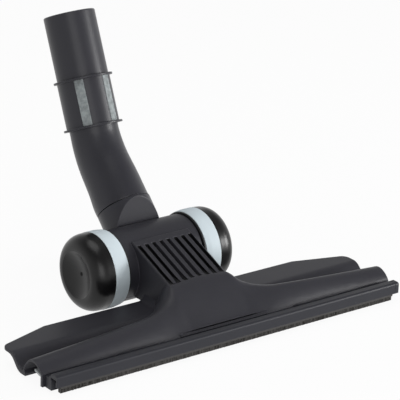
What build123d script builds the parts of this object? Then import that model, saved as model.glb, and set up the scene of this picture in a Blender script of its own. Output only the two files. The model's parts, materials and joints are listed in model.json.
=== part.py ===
from build123d import *
import math
import os

os.makedirs("parts", exist_ok=True)

# A floor brush head for a vacuum cleaner: a wide moulded head on two wheels, with a front
# brush rail, a neck that tilts in a barrel between the wheels, and a bent tube that swivels on it.
# X runs along the width, -Y is the front, +Z is up, and the floor is z = 0.
# Along Y, sizes named reach are measured forwards from the wheel axle.

# Wand stub, collar and elbow
stub_od = 35.0
stub_bore = 30.6
stub_length = 44.0
stub_lead_in = 0.6
tube_lean = 23.7
collar_length = 33.9
collar_od = 36.0
collar_flange_od = 40.1
collar_flange_thickness = 1.4
collar_twist = -10.0
strip_pair_angle = 67.0
strip_width = 6.4
strip_proud = 0.15
elbow_lower_od = 37.6
elbow_upper_od = 33.0
elbow_wall = 2.0
elbow_lower_run = 42.9
elbow_upper_run = 16.2
elbow_bend_radius = 68.0

# Neck and swivel
neck_lean = 45.0
seam_distance = 38.7
seam_gap = 0.5
neck_wall = 2.2
spigot_length = 14.0
spigot_wall = 1.8
swivel_lip_height = 4.0
retainer_height = 2.0
retainer_depth = 0.7
retainer_reach = 1.2
swivel_seal_width = 1.4
swivel_seal_height = 1.4
facet_lean = 8.4
facet_wall = 1.8
tilt_travel = 40.0

# Wheels
wheel_radius = 26.0
wheel_gap = 0.6
band_width = 11.1
band_depth = 2.2
band_taper_width = 4.6
band_taper_drop = 0.6
core_flange = 1.2
core_flange_drop = 0.9
core_rim_wall = 2.2
core_web = 2.5
core_web_inset = 4.8
hub_radius = 6.5
hub_length = 14.2
cap_wall = 2.2
cap_length = 13.8
cap_side = 3.5
cap_side_drop = 0.3
cap_rim_radius = 17.0
cap_dish_radius = 16.0
cap_dish_depth = 4.4
cap_rim_round = 0.8
cap_skirt_length = 4.0
cap_skirt_wall = 1.6
gate_mark_radius = 1.2
gate_mark_depth = 0.6
axle_radius = 3.0
axle_collar_radius = 5.0
axle_end_land = 2.2
clip_thickness = 1.0
clip_radius = 5.2
clip_depth = 0.7
clip_opening = 3.6

# Barrel and drum
barrel_radius = 24.0
barrel_half = 29.6
barrel_wall = 2.1
split_angle = 50.0
slot_front_angle = 24.2
slot_margin_angle = 2.0
axle_plate = 3.0
trunnion_radius = 7.0
trunnion_length = 6.0
drum_wall = 2.0
drum_end_wall = 3.2
drum_seal_width = 1.8
drum_seal_depth = 1.4
drum_window_front = -115.0
drum_window_rear = -30.0
drum_window_half = 18.0

# Head shell
head_width = 277.0
shell_wall = 1.8
sole_z = 1.3
wing_back_reach = 29.5
wing_corner_reach = 41.0
wing_taper_start = 100.5
wing_corner_radius = 6.0
wing_top_z = 11.9
wing_wall = 2.0
valley_run = 15.5
valley_z = 4.4
leg_draft = 0.4
wing_rib_wall = 1.6
wing_rib_start = 42.0
wing_rib_pitch = 26.0
wing_rib_count = 4
wing_rib_back_reach = 33.0
wing_rib_valley_gap = 7.0
wing_rib_back_z = 8.4
wing_rib_front_z = 2.4
arch_front_reach = 86.0
arch_front_z = 9.2
arch_depth = 21.0
tower_half = 23.0
tower_wall = 3.0
panel_wall = 5.2
tower_back_reach = 13.0
tower_front_reach = 58.0
tower_nose_reach = 62.0
tower_nose_z = 22.0
tower_floor_reach = 38.0
tower_floor = 3.9
tower_edge_radius = 1.4
tower_skirt = 5.0
duct_mouth_reach = 18.0
panel_slope = 21.3
panel_raise = 0.8
grille_count = 8
grille_edge = 1.3
grille_slot = 2.8
grille_depth = 3.0
grille_back_reach = 18.4
grille_front_reach = 55.5
grille_fade = 9.0
tab_half = 35.0
tab_bottom_z = 9.4
tab_top_z = 10.9
tab_proud = 0.7

# Arched front of the shell, from its end to the middle: x, then set back from its front the ridge,
# the height of the ridge, the fall in front of it, the height of the fall, and the foot behind it
arch_stations = [
    (head_width / 2, 11.0, 15.6, 4.0, 13.5, 22.0),
    (109.0, 11.0, 17.6, 4.2, 14.9, 22.4),
    (81.0, 11.6, 19.4, 4.6, 16.2, 23.2),
    (tower_half + 37.0, 12.8, 20.6, 5.4, 17.0, 24.5),
    (tower_half + 27.0, 14.0, 21.0, 6.4, 17.5, 26.5),
    (tower_half + 19.0, 16.4, 21.8, 8.2, 18.3, 29.0),
    (tower_half + 13.0, 19.6, 22.9, 10.4, 19.2, 32.0),
    (tower_half + 7.0, 23.8, 25.2, 13.8, 21.3, 36.5),
    (tower_half + 3.0, 27.5, 28.0, 16.4, 23.3, 40.5),
    (tower_half, 31.0, 30.4, 18.2, 24.8, 43.0),
    (0.0, 34.0, 31.9, 19.5, 25.7, 45.0),
]
arch_foot_sink = 0.9
arch_section_count = 61
arch_rise_share = (0.30, 0.56)
arch_fall_lean = 53.0

# Rail, brush and lip
rail_inset = 1.8
rail_back_bottom_z = 1.5
rail_back_top_z = 9.0
rail_top_z = 13.0
rail_front_bottom_z = 5.4
rail_shelf_depth = 4.0
rail_shelf_z = 9.6
rail_crest_run = 3.5
rail_top_depth = 5.7
rail_crest_radius = 1.8
rail_front_wall = 1.8
rail_stop_length = 4.0
rail_stop_radius = 1.0
brush_slot_width = 4.4
brush_slot_top_z = 10.0
brush_slot_flange = 0.6
brush_slot_flange_height = 1.4
channel_wall = 0.6
channel_bottom_z = 3.2
brush_end_inset = 4.3
bristle_head_gap = 0.3
lip_wall = 1.2
lip_bottom_z = 0.9
lip_bend_z = 7.4
lip_bend = 1.0
lip_hook_depth = 9.4
lip_hook_z = 9.9
lip_end_inset = 0.6
rail_screw_pitch = 66.0
rail_screw_count = 4
rail_screw_z = 4.4
rail_screw_length = 9.0
screw_radius = 1.5
screw_head_radius = 2.6
screw_head_height = 1.8

# Cover behind the drum
cover_tab_half = 19.0
cover_tab_thickness = 2.2
cover_tab_reach = 29.0
cover_tab_back_reach = 10.0
cover_screw_half_pitch = 12.0
cover_screw_reach = 25.4
cover_screw_length = 10.0
cover_boss_radius = 3.6
cover_boss_cap = 1.2

# Clearances
press_clear = 0.02
fit_clear = 0.1
running_clear = 0.06
turn_clear = 0.4
slide_clear = 0.3
cut_over = 1.0

# Worked out from the sizes above
neck_rad = math.radians(neck_lean)
tube_rad = math.radians(tube_lean)
slope_rad = math.radians(panel_slope)
fall_rad = math.radians(arch_fall_lean)
bend_rad = neck_rad - tube_rad
bend_tangent = elbow_bend_radius * math.tan(bend_rad / 2)
valley_reach = arch_front_reach - arch_depth
wing_shoulder_reach = valley_reach - valley_run
wing_rib_front_reach = valley_reach - wing_rib_valley_gap
rail_shelf_reach = arch_front_reach + rail_shelf_depth
rail_crest_reach = rail_shelf_reach + rail_crest_run
rail_front_reach = rail_crest_reach + rail_top_depth
lip_hook_reach = arch_front_reach - lip_hook_depth
tube_length = elbow_upper_run + collar_length + stub_length
tube_top_y = (seam_distance + elbow_lower_run) * math.sin(neck_rad) + tube_length * math.sin(tube_rad)
tube_back_y = tube_top_y - stub_lead_in * math.sin(tube_rad) + stub_od / 2 * math.cos(tube_rad)
axle_y = (rail_front_reach - tube_back_y) / 2
axle_z = wheel_radius
half = head_width / 2
rail_half = half - rail_inset
barrel_bore = barrel_radius - barrel_wall
drum_radius = barrel_bore - turn_clear
drum_half = barrel_half - axle_plate - slide_clear
neck_radius = elbow_lower_od / 2
slot_half = neck_radius + turn_clear + slide_clear
neck_half_angle = math.degrees(math.asin(neck_radius / barrel_bore))
slot_rear_angle = neck_lean + tilt_travel + neck_half_angle + slot_margin_angle
split_back_angle = split_angle + 180
retainer_radius = neck_radius - elbow_wall - turn_clear
spigot_radius = retainer_radius - retainer_reach
spigot_bore = spigot_radius - spigot_wall
groove_radius = spigot_radius - retainer_depth
swivel_seal_radius = (spigot_radius + neck_radius) / 2
swivel_seal_proud = seam_gap - slide_clear
wing_under_z = wing_top_z - wing_wall
duct_floor_z = wing_under_z + tower_floor
grille_pitch = 2 * (tower_half - grille_edge - grille_slot / 2) / (grille_count - 1)
panel_drop = panel_wall / math.cos(slope_rad)
band_start = barrel_half + wheel_gap + core_flange
band_end = band_start + band_width
core_start = band_start - core_flange
hub_end = core_start + hub_length
clip_start = hub_end + slide_clear
clip_end = clip_start + clip_thickness
axle_end = clip_end + axle_end_land
axle_start = barrel_half - axle_plate - trunnion_length
rim_outer = wheel_radius - band_depth
rim_inner = rim_outer - core_rim_wall
cap_end = band_end + cap_length
leg_inner_reach = arch_front_reach - shell_wall
lip_outer_reach = leg_inner_reach - fit_clear
lip_inner_reach = lip_outer_reach - lip_wall
brush_reach = rail_front_reach - rail_front_wall - brush_slot_width / 2
brush_half = rail_half - brush_end_inset
channel_half_width = brush_slot_width / 2 - fit_clear
channel_top_z = brush_slot_top_z - fit_clear
cover_head_z = wing_under_z - cover_tab_thickness
cover_screw_top_z = cover_head_z + cover_screw_length
axle_line = Axis((0, axle_y, axle_z), (1, 0, 0))

# Section plane across the head, with its own X towards the back and its own Y up
section = Plane.YZ
# Half-section plane of the wheels, with its own X along the axle and its own Y up from it
wheel_section = Plane(origin=(0, axle_y, axle_z), x_dir=(1, 0, 0), z_dir=(0, -1, 0))


def reach(distance):
    """Y of a point that lies this far in front of the axle."""
    return axle_y - distance


def front_plane(distance):
    """Upright plane that faces the front, at this reach."""
    return Plane.XZ.offset(-reach(distance))


def around_axle(radius, angle):
    """Section point at a radius from the axle, at an angle that leans back from upright."""
    turn = math.radians(angle)
    return (axle_y + radius * math.sin(turn), axle_z + radius * math.cos(turn))


def panel_z(distance):
    """Height of the grille panel at this reach: a plane raised off the barrel's own slope."""
    top = axle_z + (barrel_radius + panel_raise) / math.cos(slope_rad)
    return top - distance * math.tan(slope_rad)


def section_face(points, x=0):
    """Straight-sided face in a section plane, from points given as reach and height."""
    with BuildSketch(section.offset(x)) as face:
        with BuildLine():
            Polyline(*[(reach(distance), z) for distance, z in points], close=True)
        make_face()
    return face.sketch


def axle_sector(radius, start_angle, end_angle):
    """Section face between two angles about the axle, out to at least this radius."""
    steps = 6
    step_angle = (end_angle - start_angle) / steps
    far = radius / math.cos(math.radians(step_angle / 2))
    with BuildSketch(section) as face:
        with BuildLine():
            rim = [around_axle(far, start_angle + step_angle * step) for step in range(steps + 1)]
            Polyline((axle_y, axle_z), *rim, close=True)
        make_face()
    return face.sketch


def axle_ring(x, radius, bore=0):
    """Round face about the axle at a place along it, with a hole where a bore is given."""
    with BuildSketch(section.offset(x)) as face:
        with Locations((axle_y, axle_z)):
            Circle(radius)
            if bore:
                Circle(bore, mode=Mode.SUBTRACT)
    return face.sketch


def wheel_face(points):
    """Half-section face of a wheel, from points given as place along the axle and radius."""
    with BuildSketch(wheel_section) as face:
        with BuildLine():
            Polyline(*points, close=True)
        make_face()
    return face.sketch


def finish(piece, name):
    """Names a finished piece and writes it to its own file."""
    piece.label = name
    export_step(piece, f"parts/{name}.step")


def finish_pair(piece, name):
    """Writes a right-hand piece and its mirrored left-hand twin."""
    finish(piece, f"{name}_right")
    with BuildPart() as twin:
        mirror(piece, about=Plane.YZ)
    finish(twin.part, f"{name}_left")


# Tube centre line: straight up the neck, round the bend, then straight up the wand stub
arc_start = seam_distance + elbow_lower_run - bend_tangent
arc_end = arc_start + elbow_bend_radius * bend_rad
collar_start = arc_end + elbow_upper_run - bend_tangent
stub_start = collar_start + collar_length
tube_end = stub_start + stub_length


def tube_frame(distance, turn=0):
    """Plane across the tube, at a distance along its centre line and turned about it."""
    lean = neck_rad - min(max(distance - arc_start, 0), arc_end - arc_start) / elbow_bend_radius
    before = min(distance, arc_start)
    after = max(distance - arc_end, 0)
    y = before * math.sin(neck_rad) + elbow_bend_radius * (math.cos(lean) - math.cos(neck_rad))
    z = before * math.cos(neck_rad) + elbow_bend_radius * (math.sin(neck_rad) - math.sin(lean))
    return Plane(
        origin=(0, axle_y + y + after * math.sin(lean), axle_z + z + after * math.cos(lean)),
        x_dir=(math.cos(turn), math.sin(turn) * math.cos(lean), -math.sin(turn) * math.sin(lean)),
        z_dir=(0, math.sin(lean), math.cos(lean)),
    )


def tube_ring(distance, radius, bore=0):
    """Round face across the tube, with a hole where a bore is given."""
    with BuildSketch(tube_frame(distance)) as face:
        Circle(radius)
        if bore:
            Circle(bore, mode=Mode.SUBTRACT)
    return face.sketch


def tube_run(start, end, radius, mode=Mode.ADD):
    """Straight round length of the tube, from one distance to another."""
    extrude(tube_ring(start, radius), amount=end - start, mode=mode)


def tapered_bend(first, lower_radius, upper_radius):
    """Round faces that taper evenly from the elbow's lower end to the end of its bend."""
    steps = 4
    arc_step = (arc_end - arc_start) / steps
    stations = [first, (first + arc_start) / 2]
    stations += [arc_start + arc_step * step for step in range(steps + 1)]
    taper = (upper_radius - lower_radius) / (arc_end - first)
    return [tube_ring(distance, lower_radius + taper * (distance - first)) for distance in stations]


# Elbow and wand stub, one moulding, with a lip inside its lower end
lip_end = seam_distance + swivel_lip_height
with BuildPart() as elbow_void:
    loft(tapered_bend(lip_end, neck_radius - elbow_wall, stub_bore / 2))
    tube_run(arc_end, tube_end, stub_bore / 2)
    tube_run(seam_distance, lip_end, spigot_radius + slide_clear)

with BuildPart() as elbow_tube:
    loft(tapered_bend(seam_distance, neck_radius, elbow_upper_od / 2))
    tube_run(arc_end, stub_start, elbow_upper_od / 2)
    tube_run(stub_start, tube_end, stub_od / 2)
    chamfer(elbow_tube.faces().sort_by(Axis.Z)[-1].edges(), stub_lead_in)
    add(elbow_void.part, mode=Mode.SUBTRACT)
finish(elbow_tube.part, "elbow_tube")

# Collar on the tube: two flanges, and windows for the strips in two facing pairs
collar_bore = elbow_upper_od / 2 + press_clear
strip_start = collar_start + collar_flange_thickness
strip_length = collar_length - 2 * collar_flange_thickness
strip_turns = [collar_twist + pair + side * strip_pair_angle / 2 for pair in (0, 180) for side in (-1, 1)]


def strip_bars(gap):
    """Bars along the collar at each strip's angle, smaller than the windows by a gap all round."""
    bar_height = collar_flange_od / 2 - collar_bore
    for turn in strip_turns:
        with BuildSketch(tube_frame(strip_start + gap, math.radians(turn))) as bar:
            with Locations((0, -collar_bore - bar_height / 2)):
                Rectangle(strip_width - 2 * gap, bar_height + cut_over)
        extrude(bar.sketch, amount=strip_length - 2 * gap)


with BuildPart() as collar_windows:
    strip_bars(0)

with BuildPart() as collar_sleeve:
    tube_run(collar_start, stub_start, collar_od / 2)
    tube_run(collar_start, collar_start + collar_flange_thickness, collar_flange_od / 2)
    tube_run(stub_start - collar_flange_thickness, stub_start, collar_flange_od / 2)
    tube_run(collar_start, stub_start, collar_bore, Mode.SUBTRACT)
    add(collar_windows.part, mode=Mode.SUBTRACT)
finish(collar_sleeve.part, "collar_sleeve")

with BuildPart() as collar_grip_strips:
    strip_bars(press_clear)
    tube_run(collar_start, stub_start, collar_od / 2 + strip_proud, Mode.INTERSECT)
    tube_run(collar_start, stub_start, collar_bore, Mode.SUBTRACT)
finish(collar_grip_strips.part, "collar_grip_strips")

# Swivel neck: a drum that tilts in the barrel, with a neck and a spigot that carry the elbow
shoulder = seam_distance - seam_gap
spigot_end = seam_distance + spigot_length
retainer_start = lip_end + slide_clear
facet_foot_radius = barrel_radius + turn_clear
facet_foot_angle = slot_front_angle + math.degrees(turn_clear / barrel_radius)
seal_groove_depth = swivel_seal_height - swivel_seal_proud
drum_seal_middle = drum_half - drum_end_wall / 2


def facet_block(depth):
    """Everything in front of the neck's flat stop face, or of a plane this deep behind it."""
    lean = math.radians(facet_lean)
    foot_y, foot_z = around_axle(facet_foot_radius, facet_foot_angle)
    foot_y += depth * math.cos(lean)
    foot_z -= depth * math.sin(lean)
    low = (foot_y - barrel_radius * math.sin(lean), foot_z - barrel_radius * math.cos(lean))
    high = (foot_y + tube_length * math.sin(lean), foot_z + tube_length * math.cos(lean))
    with BuildSketch(section) as face:
        with BuildLine():
            Polyline(low, high, (low[0] - tube_length, high[1]), (low[0] - tube_length, low[1]), close=True)
        make_face()
    return face.sketch


with BuildPart() as neck_void:
    tube_run(0, shoulder - neck_wall, neck_radius - neck_wall)
    tube_run(0, spigot_end, spigot_bore)
    extrude(facet_block(facet_wall), amount=drum_half, both=True, mode=Mode.SUBTRACT)
    extrude(axle_ring(0, drum_radius - drum_wall), amount=drum_half - drum_end_wall, both=True)

with BuildPart() as swivel_neck:
    tube_run(0, shoulder, neck_radius)
    extrude(facet_block(0), amount=drum_half, both=True, mode=Mode.SUBTRACT)
    tube_run(seam_distance - seal_groove_depth, spigot_end, spigot_radius)
    extrude(axle_ring(0, drum_radius), amount=drum_half, both=True)
    add(neck_void.part, mode=Mode.SUBTRACT)
    extrude(axle_ring(0, trunnion_radius + running_clear), amount=drum_half, both=True, mode=Mode.SUBTRACT)
    drum_window = axle_sector(barrel_radius, drum_window_front, drum_window_rear)
    extrude(drum_window, amount=drum_window_half, both=True, mode=Mode.SUBTRACT)
    retainer_groove = tube_ring(retainer_start - press_clear, spigot_radius + cut_over, groove_radius)
    extrude(retainer_groove, amount=retainer_height + 2 * press_clear, mode=Mode.SUBTRACT)
    seal_outer = swivel_seal_radius + swivel_seal_width / 2
    seal_inner = swivel_seal_radius - swivel_seal_width / 2
    extrude(tube_ring(shoulder, seal_outer, seal_inner), amount=-seal_groove_depth, mode=Mode.SUBTRACT)
    for side in (-1, 1):
        seal_groove = axle_ring(side * drum_seal_middle, barrel_radius, drum_radius - drum_seal_depth)
        extrude(seal_groove, amount=drum_seal_width / 2, both=True, mode=Mode.SUBTRACT)
finish(swivel_neck.part, "swivel_neck")

with BuildPart() as drum_seal:
    drum_seal_bore = drum_radius - drum_seal_depth + press_clear
    drum_seal_face = axle_ring(drum_seal_middle, barrel_bore - running_clear, drum_seal_bore)
    extrude(drum_seal_face, amount=drum_seal_width / 2 - press_clear, both=True)
finish_pair(drum_seal.part, "drum_seal")

with BuildPart() as swivel_retainer:
    extrude(tube_ring(retainer_start, retainer_radius, groove_radius + press_clear), amount=retainer_height)
finish(swivel_retainer.part, "swivel_retainer")

with BuildPart() as swivel_seal:
    seal_face = tube_ring(shoulder - seal_groove_depth, seal_outer - press_clear, seal_inner + press_clear)
    extrude(seal_face, amount=swivel_seal_height)
finish(swivel_seal.part, "swivel_seal")


# Upper shell: wings, arched front, tower and the front half of the barrel, one moulding
def eased(places, values, place):
    """Smooth value at a place between listed ones, never beyond the values on either side."""
    spans = [after - before for before, after in zip(places, places[1:])]
    rates = [(after - before) / span for before, after, span in zip(values, values[1:], spans)]
    inner_slopes = [2 * a * b / (a + b) if a * b > 0 else 0 for a, b in zip(rates, rates[1:])]
    slopes = [0] + inner_slopes + [rates[-1]]
    spot = max(index for index in range(len(spans)) if places[index] <= place)
    t = (place - places[spot]) / spans[spot]
    start_bend = (t**3 - 2 * t**2 + t) * spans[spot] * slopes[spot]
    end_bend = (t**3 - t**2) * spans[spot] * slopes[spot + 1]
    blend = 3 * t**2 - 2 * t**3
    return values[spot] * (1 - blend) + values[spot + 1] * blend + start_bend + end_bend


def wing_z(distance):
    """Height of the wing's top at this reach: level, then eased down into the valley."""
    t = (distance - wing_shoulder_reach) / (valley_reach - wing_shoulder_reach)
    t = min(max(t, 0), 1)
    return wing_top_z + (valley_z - wing_top_z) * (3 * t**2 - 2 * t**3)


def arch_points(x, inset):
    """Foot, rise, ridge, fall and front points of the arch at a place, inset from its outside."""
    columns = list(zip(*arch_stations[::-1]))
    values = [eased(columns[0], column, abs(x)) for column in columns[1:]]
    ridge_back, ridge_z, fall_back, fall_z, foot_back = values
    foot_reach = arch_front_reach - foot_back
    foot = (foot_reach + inset, wing_z(foot_reach) - arch_foot_sink + inset)
    ridge = (arch_front_reach - ridge_back, ridge_z - inset)
    rise = tuple(a + (b - a) * share for a, b, share in zip(foot, ridge, arch_rise_share))
    fall_reach = arch_front_reach - fall_back - inset * math.cos(fall_rad)
    fall = (fall_reach, fall_z - inset * math.sin(fall_rad))
    front = (arch_front_reach - inset, arch_front_z - inset * (1 - math.cos(fall_rad)))
    return [foot, rise, ridge, fall, front]


def arch_face(x, curve, base):
    """Section face of the arch: a smooth curve over the top and straight lines below it."""
    with BuildSketch(section.offset(x)) as face:
        with BuildLine():
            Spline(*[(reach(distance), z) for distance, z in curve])
            Polyline(*[(reach(distance), z) for distance, z in [curve[-1]] + base + [curve[0]]])
        make_face()
    return face.sketch


arch_places = [half * (2 * place / (arch_section_count - 1) - 1) for place in range(arch_section_count)]
inner_valley_reach = valley_reach + shell_wall
outer_base = [(arch_front_reach, sole_z), (valley_reach, sole_z)]
inner_base = [
    (leg_inner_reach, sole_z - cut_over),
    (inner_valley_reach, sole_z - cut_over),
    (inner_valley_reach + leg_draft, sole_z + shell_wall),
]
tab_base = [(arch_front_reach + tab_proud, sole_z), (valley_reach, sole_z)]
tab_places = [x for x in arch_places if abs(x) < tab_half + 2 * half / arch_section_count]
arch_solid_faces = [arch_face(x, arch_points(x, 0), outer_base) for x in arch_places]
void_stretch = 1 + cut_over / half
arch_void_faces = [arch_face(x * void_stretch, arch_points(x, shell_wall), inner_base) for x in arch_places]
tab_faces = [arch_face(x, arch_points(x, -tab_proud), tab_base) for x in tab_places]

cover_screw_places = [(side * cover_screw_half_pitch, reach(cover_screw_reach)) for side in (-1, 1)]
rail_screw_start = -rail_screw_pitch * (rail_screw_count - 1) / 2
rail_screw_places = [
    (rail_screw_start + place * rail_screw_pitch, rail_screw_z) for place in range(rail_screw_count)
]

with BuildPart() as wing:
    with BuildSketch(section):
        with BuildLine():
            shoulder_top = (reach(wing_shoulder_reach), wing_top_z)
            valley_top = (reach(valley_reach), valley_z)
            shoulder_under = (reach(wing_shoulder_reach - wing_wall), wing_under_z)
            valley_under = (reach(valley_reach - wing_wall), sole_z)
            Line((reach(wing_back_reach), wing_top_z), shoulder_top)
            Spline(shoulder_top, valley_top, tangents=[(-1, 0), (-1, 0)])
            Polyline(valley_top, (reach(valley_reach), sole_z), valley_under)
            Spline(valley_under, shoulder_under, tangents=[(1, 0), (1, 0)])
            Polyline(
                shoulder_under,
                (reach(wing_back_reach), wing_under_z),
                (reach(wing_back_reach), wing_top_z),
            )
        make_face()
    extrude(amount=half, both=True)
    for place in range(wing_rib_count):
        for side in (-1, 1):
            rib_face = section_face(
                [
                    (wing_rib_back_reach, wing_under_z + wing_wall / 2),
                    (wing_shoulder_reach, wing_under_z + wing_wall / 2),
                    (wing_rib_front_reach + wing_wall, wing_rib_front_z + wing_wall / 2),
                    (wing_rib_front_reach, wing_rib_front_z),
                    (wing_rib_back_reach, wing_rib_back_z),
                ],
                side * (wing_rib_start + place * wing_rib_pitch),
            )
            extrude(rib_face, amount=wing_rib_wall / 2, both=True)
    with BuildSketch() as wing_outline:
        with BuildLine():
            Polyline(
                (half, reach(arch_front_reach)),
                (half, reach(wing_corner_reach)),
                (wing_taper_start, reach(wing_back_reach)),
                (-wing_taper_start, reach(wing_back_reach)),
                (-half, reach(wing_corner_reach)),
                (-half, reach(arch_front_reach)),
                close=True,
            )
        make_face()
        wing_corners = wing_outline.vertices().filter_by_position(
            Axis.Y, reach(wing_corner_reach), reach(wing_corner_reach)
        )
        fillet(wing_corners, wing_corner_radius)
    extrude(amount=wing_top_z, mode=Mode.INTERSECT)

with BuildPart() as tower:
    tower_face = section_face(
        [
            (tower_back_reach, panel_z(tower_back_reach)),
            (tower_front_reach, panel_z(tower_front_reach)),
            (tower_nose_reach, tower_nose_z),
            (tower_nose_reach, valley_z),
            (tower_floor_reach, wing_under_z),
            (tower_back_reach, wing_under_z),
        ]
    )
    extrude(tower_face, amount=tower_half, both=True)
    fillet(tower.faces().sort_by(Axis.Z)[-1].edges(), tower_edge_radius)

with BuildPart() as tower_flare:
    skirt_half = tower_half + tower_skirt
    with BuildSketch(front_plane(wing_back_reach)):
        with BuildLine():
            Polyline(
                (-tower_half, wing_top_z + tower_skirt),
                (tower_half, wing_top_z + tower_skirt),
            )
            RadiusArc((tower_half, wing_top_z + tower_skirt), (skirt_half, wing_top_z), -tower_skirt)
            Polyline(
                (skirt_half, wing_top_z),
                (skirt_half, wing_under_z),
                (-skirt_half, wing_under_z),
                (-skirt_half, wing_top_z),
            )
            RadiusArc((-skirt_half, wing_top_z), (-tower_half, wing_top_z + tower_skirt), -tower_skirt)
        make_face()
    extrude(amount=wing_shoulder_reach - wing_back_reach)

with BuildPart() as front_tab:
    loft(tab_faces)
    with BuildSketch(Plane.XY.offset(tab_bottom_z)):
        with Locations((0, reach(arch_front_reach))):
            Rectangle(2 * tab_half, arch_front_reach - valley_reach)
    extrude(amount=tab_top_z - tab_bottom_z, mode=Mode.INTERSECT)

with BuildPart() as arch_void:
    loft(arch_void_faces)

with BuildPart() as upper_shell:
    loft(arch_solid_faces)
    add(wing.part)
    add(tower.part)
    add(tower_flare.part)
    add(front_tab.part)
    extrude(axle_ring(0, barrel_radius), amount=barrel_half, both=True)
    barrel_rear = axle_sector(barrel_radius + cut_over, split_angle, split_back_angle)
    extrude(barrel_rear, amount=barrel_half, both=True, mode=Mode.SUBTRACT)
    add(arch_void.part, mode=Mode.SUBTRACT)
    duct_face = section_face(
        [
            (duct_mouth_reach, panel_z(duct_mouth_reach) - panel_drop),
            (tower_front_reach, panel_z(tower_front_reach) - panel_drop),
            (tower_nose_reach, tower_nose_z),
            (tower_nose_reach, wing_under_z),
            (tower_floor_reach + shell_wall, duct_floor_z),
            (tower_back_reach, duct_floor_z),
            (tower_back_reach, axle_z + trunnion_radius),
        ]
    )
    extrude(duct_face, amount=tower_half - tower_wall, both=True, mode=Mode.SUBTRACT)
    with BuildSketch(Plane.XY.offset(wing_under_z)):
        with Locations(*cover_screw_places):
            Circle(cover_boss_radius)
    extrude(amount=cover_screw_top_z + cover_boss_cap - wing_under_z)
    extrude(axle_ring(0, barrel_bore), amount=barrel_half, both=True, mode=Mode.SUBTRACT)
    with BuildSketch(Plane.XY.offset(wing_under_z)):
        with Locations(*cover_screw_places):
            Circle(screw_radius + press_clear)
    extrude(amount=cover_screw_top_z + fit_clear - wing_under_z, mode=Mode.SUBTRACT)
    neck_slot = axle_sector(barrel_radius + cut_over, slot_front_angle, slot_rear_angle)
    extrude(neck_slot, amount=slot_half, both=True, mode=Mode.SUBTRACT)
    for place in range(grille_count):
        grille_face = section_face(
            [
                (grille_back_reach, panel_z(grille_back_reach) + cut_over),
                (grille_front_reach, panel_z(grille_front_reach) + cut_over),
                (grille_front_reach, panel_z(grille_front_reach)),
                (grille_front_reach - grille_fade, panel_z(grille_front_reach - grille_fade) - grille_depth),
                (grille_back_reach, panel_z(grille_back_reach) - grille_depth),
            ],
            (place - (grille_count - 1) / 2) * grille_pitch,
        )
        extrude(grille_face, amount=grille_slot / 2, both=True, mode=Mode.SUBTRACT)
    with BuildSketch(front_plane(leg_inner_reach - cut_over)):
        with Locations(*rail_screw_places):
            Circle(screw_radius + fit_clear)
    extrude(amount=shell_wall + 2 * cut_over, mode=Mode.SUBTRACT)
finish(upper_shell.part, "upper_shell")

# Cover that closes the barrel behind and below the drum, and its two screws
with BuildPart() as drum_cover:
    extrude(axle_ring(0, barrel_radius), amount=barrel_half, both=True)
    extrude(barrel_rear, amount=barrel_half, both=True, mode=Mode.INTERSECT)
    cover_tab_face = section_face(
        [
            (cover_tab_back_reach, wing_under_z),
            (cover_tab_reach, wing_under_z),
            (cover_tab_reach, cover_head_z),
            (cover_tab_back_reach, cover_head_z),
        ]
    )
    extrude(cover_tab_face, amount=cover_tab_half, both=True)
    extrude(axle_ring(0, barrel_bore), amount=barrel_half, both=True, mode=Mode.SUBTRACT)
    extrude(neck_slot, amount=slot_half, both=True, mode=Mode.SUBTRACT)
    with BuildSketch(Plane.XY.offset(cover_head_z)):
        with Locations(*cover_screw_places):
            Circle(screw_radius + fit_clear)
    extrude(amount=cover_tab_thickness, mode=Mode.SUBTRACT)
finish(drum_cover.part, "drum_cover")

with BuildPart() as drum_cover_screws:
    with BuildSketch(Plane.XY.offset(cover_head_z - screw_head_height)):
        with Locations(*cover_screw_places):
            Circle(screw_head_radius)
    extrude(amount=screw_head_height)
    with BuildSketch(Plane.XY.offset(cover_head_z)):
        with Locations(*cover_screw_places):
            Circle(screw_radius)
    extrude(amount=cover_screw_length)
finish(drum_cover_screws.part, "drum_cover_screws")

# Axle plates that close the barrel's ends: their bosses carry the drum, and their axles the wheels
with BuildPart() as axle_plate_disc:
    extrude(axle_ring(barrel_half, barrel_bore - fit_clear), amount=-axle_plate)
    extrude(axle_ring(axle_start, trunnion_radius), amount=trunnion_length)
    axle_hole = axle_ring(axle_start, axle_radius + press_clear)
    extrude(axle_hole, amount=axle_plate + trunnion_length, mode=Mode.SUBTRACT)
finish_pair(axle_plate_disc.part, "axle_plate")

with BuildPart() as wheel_axle:
    extrude(axle_ring(axle_start, axle_radius), amount=axle_end - axle_start)
    extrude(axle_ring(barrel_half, axle_collar_radius), amount=core_start - slide_clear - barrel_half)
    clip_groove = axle_ring(clip_start - press_clear, axle_radius + cut_over, axle_radius - clip_depth)
    extrude(clip_groove, amount=clip_thickness + 2 * press_clear, mode=Mode.SUBTRACT)
finish_pair(wheel_axle.part, "wheel_axle")

with BuildPart() as axle_clip:
    extrude(axle_ring(clip_start, clip_radius, axle_radius - clip_depth + press_clear), amount=clip_thickness)
    with BuildSketch(section.offset(clip_start)):
        with Locations((reach(clip_radius / 2), axle_z)):
            Rectangle(clip_radius, clip_opening)
    extrude(amount=clip_thickness, mode=Mode.SUBTRACT)
finish_pair(axle_clip.part, "axle_clip")

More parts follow.
